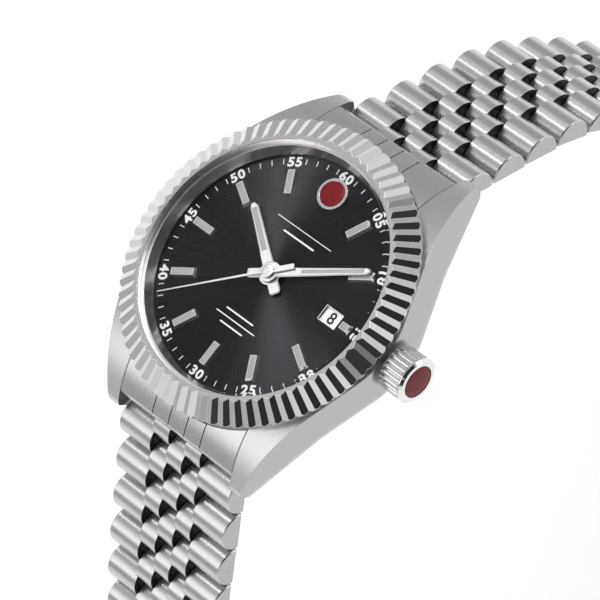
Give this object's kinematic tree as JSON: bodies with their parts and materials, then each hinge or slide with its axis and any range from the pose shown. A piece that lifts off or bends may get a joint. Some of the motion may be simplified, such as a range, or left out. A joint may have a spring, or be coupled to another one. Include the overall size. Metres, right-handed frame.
{
  "type": "wristwatch",
  "caption": "Steel automatic wristwatch with fluted bezel, black dial, date window, screw-back case, crown, articulated bracelet and folding clasp.",
  "frame": {"origin": "centre of the case back's outer face", "axes": "+Z out of the dial, +Y to 12 o'clock, +X to the crown at 3 o'clock"},
  "size_m": [0.0432, 0.1076, 0.1187],
  "materials": {
    "steel_brushed": "satin brushed stainless steel",
    "steel_polished": "polished stainless steel",
    "crystal": "clear sapphire",
    "window": "clear mineral glass",
    "dial": "gloss black lacquer",
    "flange": "satin black",
    "applied_metal": "polished rhodium",
    "enamel": "red enamel in a polished frame",
    "brass": "gilt brass",
    "movement_plate": "rhodium plated",
    "blued": "blued steel",
    "white_disc": "matt white",
    "seal": "black rubber"
  },
  "bodies": {
    "case": {"mid_case": "steel_polished", "bezel": "steel_polished", "crystal": "crystal", "rehaut": "flange", "dial": "dial", "hour_markers": "applied_metal", "dial_emblem": "enamel", "crown_tube": "steel_brushed", "case_back": "steel_brushed", "back_window": "window", "movement_ring": "movement_plate", "mainplate": "movement_plate", "train_bridge": "movement_plate", "balance_cock": "movement_plate", "movement_screws": "blued", "end_link_12": "steel_polished", "end_link_6": "steel_polished", "spring_bars": "steel_brushed"},
    "hour": {"hour_hand": "applied_metal", "hour_wheel": "brass"},
    "minute": {"minute_hand": "applied_metal", "centre_wheel": "brass"},
    "second": {"second_hand": "applied_metal", "fourth_wheel": "brass"},
    "third_wheel": {"third_wheel": "brass"},
    "escape_wheel": {"escape_wheel": "steel_brushed"},
    "pallet_fork": {"pallet_fork": "steel_brushed"},
    "balance": {"balance_wheel": "brass", "hairspring": "blued"},
    "barrel": {"barrel": "brass"},
    "minute_wheel": {"minute_wheel": "brass"},
    "date_disc": {"date_disc": "white_disc"},
    "rotor": {"rotor": "movement_plate"},
    "crown_seal": {"crown_gasket": "seal"},
    "crown": {"crown": "steel_polished", "winding_stem": "steel_brushed"},
    "clasp_blade_inner": {"clasp_blade_inner": "steel_brushed"},
    "clasp_blade_outer": {"clasp_blade_outer": "steel_brushed"},
    "clasp_cover": {"clasp_cover": "steel_polished"},
    "clasp_button_left": {"clasp_button_left": "steel_polished"},
    "clasp_button_right": {"clasp_button_right": "steel_polished"},
    "link_12_01": {"link_12_01": "steel_polished"},
    "link_12_02": {"link_12_02": "steel_polished"},
    "link_12_03": {"link_12_03": "steel_polished"},
    "link_12_04": {"link_12_04": "steel_polished"},
    "link_12_05": {"link_12_05": "steel_polished"},
    "link_12_06": {"link_12_06": "steel_polished"},
    "link_12_07": {"link_12_07": "steel_polished"},
    "link_12_08": {"link_12_08": "steel_polished"},
    "link_12_09": {"link_12_09": "steel_polished"},
    "link_12_10": {"link_12_10": "steel_polished"},
    "link_12_11": {"link_12_11": "steel_polished"},
    "link_6_01": {"link_6_01": "steel_polished"},
    "link_6_02": {"link_6_02": "steel_polished"},
    "link_6_03": {"link_6_03": "steel_polished"},
    "link_6_04": {"link_6_04": "steel_polished"},
    "link_6_05": {"link_6_05": "steel_polished"},
    "link_6_06": {"link_6_06": "steel_polished"},
    "link_6_07": {"link_6_07": "steel_polished"},
    "link_6_08": {"link_6_08": "steel_polished"}
  },
  "joints": [
    {"name": "minute_turn", "type": "hinge", "parent": "case", "child": "minute", "pos_m": [0, 0, 0.005], "axis": [0, 0, -1], "continuous": true},
    {"name": "hour_turn", "type": "hinge", "parent": "case", "child": "hour", "pos_m": [0, 0, 0.005], "axis": [0, 0, -1], "continuous": true},
    {"name": "second_turn", "type": "hinge", "parent": "case", "child": "second", "pos_m": [0, 0, 0.005], "axis": [0, 0, -1], "continuous": true},
    {"name": "third_wheel_turn", "type": "hinge", "parent": "case", "child": "third_wheel", "pos_m": [-0.00564, -0.00205, 0.005], "axis": [0, 0, -1], "continuous": true},
    {"name": "escape_wheel_turn", "type": "hinge", "parent": "case", "child": "escape_wheel", "pos_m": [0.00293, -0.00507, 0.005], "axis": [0, 0, -1], "continuous": true},
    {"name": "barrel_turn", "type": "hinge", "parent": "case", "child": "barrel", "pos_m": [0.00298, 0.00515, 0.005], "axis": [0, 0, -1], "continuous": true},
    {"name": "minute_wheel_turn", "type": "hinge", "parent": "case", "child": "minute_wheel", "pos_m": [-0.00312, 0.0018, 0.005], "axis": [0, 0, -1], "continuous": true},
    {"name": "pallet_swing", "type": "hinge", "parent": "case", "child": "pallet_fork", "pos_m": [0.00087, -0.0072, 0.005], "axis": [0, 0, -1], "range_deg": [-5, 5]},
    {"name": "balance_swing", "type": "hinge", "parent": "case", "child": "balance", "pos_m": [-0.0021, -0.0086, 0.005], "axis": [0, 0, -1], "range_deg": [-270, 270], "stiffness_Nm_per_rad": 0.00000012},
    {"name": "date_turn", "type": "hinge", "parent": "case", "child": "date_disc", "pos_m": [0, 0, 0.005], "axis": [0, 0, -1], "continuous": true},
    {"name": "rotor_turn", "type": "hinge", "parent": "case", "child": "rotor", "pos_m": [0, 0, 0.005], "axis": [0, 0, -1], "continuous": true},
    {"name": "crown_pull", "type": "slide", "parent": "case", "child": "crown_seal", "axis": [1, 0, 0], "range_m": [0, 0.0011]},
    {"name": "crown_turn", "type": "hinge", "parent": "crown_seal", "child": "crown", "pos_m": [0.0205, 0, 0.0049], "axis": [1, 0, 0], "continuous": true},
    {"name": "link_12_01_hinge", "type": "hinge", "parent": "case", "child": "link_12_01", "pos_m": [0, 0.0224, -0.0001], "axis": [1, 0, 0], "range_deg": [0, 5]},
    {"name": "link_12_02_hinge", "type": "hinge", "parent": "link_12_01", "child": "link_12_02", "pos_m": [0, 0.02681, -0.00355], "axis": [1, 0, 0], "range_deg": [0, 5]},
    {"name": "link_12_03_hinge", "type": "hinge", "parent": "link_12_02", "child": "link_12_03", "pos_m": [0, 0.03129, -0.00692], "axis": [1, 0, 0], "range_deg": [0, 7]},
    {"name": "link_12_04_hinge", "type": "hinge", "parent": "link_12_03", "child": "link_12_04", "pos_m": [0, 0.03564, -0.01044], "axis": [1, 0, 0], "range_deg": [0, 12]},
    {"name": "link_12_05_hinge", "type": "hinge", "parent": "link_12_04", "child": "link_12_05", "pos_m": [0, 0.03953, -0.01447], "axis": [1, 0, 0], "range_deg": [0, 14]},
    {"name": "link_12_06_hinge", "type": "hinge", "parent": "link_12_05", "child": "link_12_06", "pos_m": [0, 0.04274, -0.01906], "axis": [1, 0, 0], "range_deg": [0, 11]},
    {"name": "link_12_07_hinge", "type": "hinge", "parent": "link_12_06", "child": "link_12_07", "pos_m": [0, 0.04545, -0.02396], "axis": [1, 0, 0], "range_deg": [0, 10]},
    {"name": "link_12_08_hinge", "type": "hinge", "parent": "link_12_07", "child": "link_12_08", "pos_m": [0, 0.04773, -0.02907], "axis": [1, 0, 0], "range_deg": [0, 10]},
    {"name": "link_12_09_hinge", "type": "hinge", "parent": "link_12_08", "child": "link_12_09", "pos_m": [0, 0.04956, -0.03437], "axis": [1, 0, 0], "range_deg": [-43, 13]},
    {"name": "link_12_10_hinge", "type": "hinge", "parent": "link_12_09", "child": "link_12_10", "pos_m": [0, 0.05169, -0.04536], "axis": [1, 0, 0], "range_deg": [-25, 11]},
    {"name": "link_12_11_hinge", "type": "hinge", "parent": "link_12_10", "child": "link_12_11", "pos_m": [0, 0.05267, -0.05652], "axis": [1, 0, 0], "range_deg": [-17, 8]},
    {"name": "clasp_end_hinge", "type": "hinge", "parent": "link_12_11", "child": "clasp_blade_inner", "pos_m": [0, 0.05306, -0.06771], "axis": [1, 0, 0], "range_deg": [0, 30]},
    {"name": "clasp_blade_hinge", "type": "hinge", "parent": "clasp_blade_inner", "child": "clasp_blade_outer", "pos_m": [0, 0.04526, -0.10362], "axis": [-1, 0, 0], "range_deg": [0, 60]},
    {"name": "clasp_cover_hinge", "type": "hinge", "parent": "clasp_blade_outer", "child": "clasp_cover", "pos_m": [0, 0.05314, -0.07111], "axis": [1, 0, 0], "range_deg": [0, 55]},
    {"name": "clasp_button_left_press", "type": "slide", "parent": "clasp_cover", "child": "clasp_button_left", "axis": [1, 0, 0], "range_m": [0, 0.0005], "stiffness_N_per_m": 400, "springref_m": -0.0005},
    {"name": "clasp_button_right_press", "type": "slide", "parent": "clasp_cover", "child": "clasp_button_right", "axis": [-1, 0, 0], "range_m": [0, 0.0005], "stiffness_N_per_m": 400, "springref_m": -0.0005},
    {"name": "link_6_01_hinge", "type": "hinge", "parent": "case", "child": "link_6_01", "pos_m": [0, -0.0224, -0.0001], "axis": [-1, 0, 0], "range_deg": [0, 10]},
    {"name": "link_6_02_hinge", "type": "hinge", "parent": "link_6_01", "child": "link_6_02", "pos_m": [0, -0.02622, -0.0042], "axis": [-1, 0, 0], "range_deg": [0, 6]},
    {"name": "link_6_03_hinge", "type": "hinge", "parent": "link_6_02", "child": "link_6_03", "pos_m": [0, -0.02997, -0.00836], "axis": [-1, 0, 0], "range_deg": [0, 5]},
    {"name": "link_6_04_hinge", "type": "hinge", "parent": "link_6_03", "child": "link_6_04", "pos_m": [0, -0.03371, -0.01252], "axis": [-1, 0, 0], "range_deg": [0, 6]},
    {"name": "link_6_05_hinge", "type": "hinge", "parent": "link_6_04", "child": "link_6_05", "pos_m": [0, -0.03739, -0.01675], "axis": [-1, 0, 0], "range_deg": [0, 7]},
    {"name": "link_6_06_hinge", "type": "hinge", "parent": "link_6_05", "child": "link_6_06", "pos_m": [0, -0.04091, -0.0211], "axis": [-1, 0, 0], "range_deg": [-47, 11]},
    {"name": "link_6_07_hinge", "type": "hinge", "parent": "link_6_06", "child": "link_6_07", "pos_m": [0, -0.04701, -0.03049], "axis": [-1, 0, 0], "range_deg": [-17, 21]},
    {"name": "link_6_08_hinge", "type": "hinge", "parent": "link_6_07", "child": "link_6_08", "pos_m": [0, -0.05029, -0.0412], "axis": [-1, 0, 0], "range_deg": [-9, 17]}
  ],
  "couplings": [
    {"joint": "hour_turn", "follows": "minute_turn", "ratio": 0.083333},
    {"joint": "minute_wheel_turn", "follows": "minute_turn", "ratio": -0.33333},
    {"joint": "third_wheel_turn", "follows": "minute_turn", "ratio": -8},
    {"joint": "second_turn", "follows": "minute_turn", "ratio": 60},
    {"joint": "escape_wheel_turn", "follows": "minute_turn", "ratio": -480},
    {"joint": "barrel_turn", "follows": "minute_turn", "ratio": -0.13333}
  ]
}
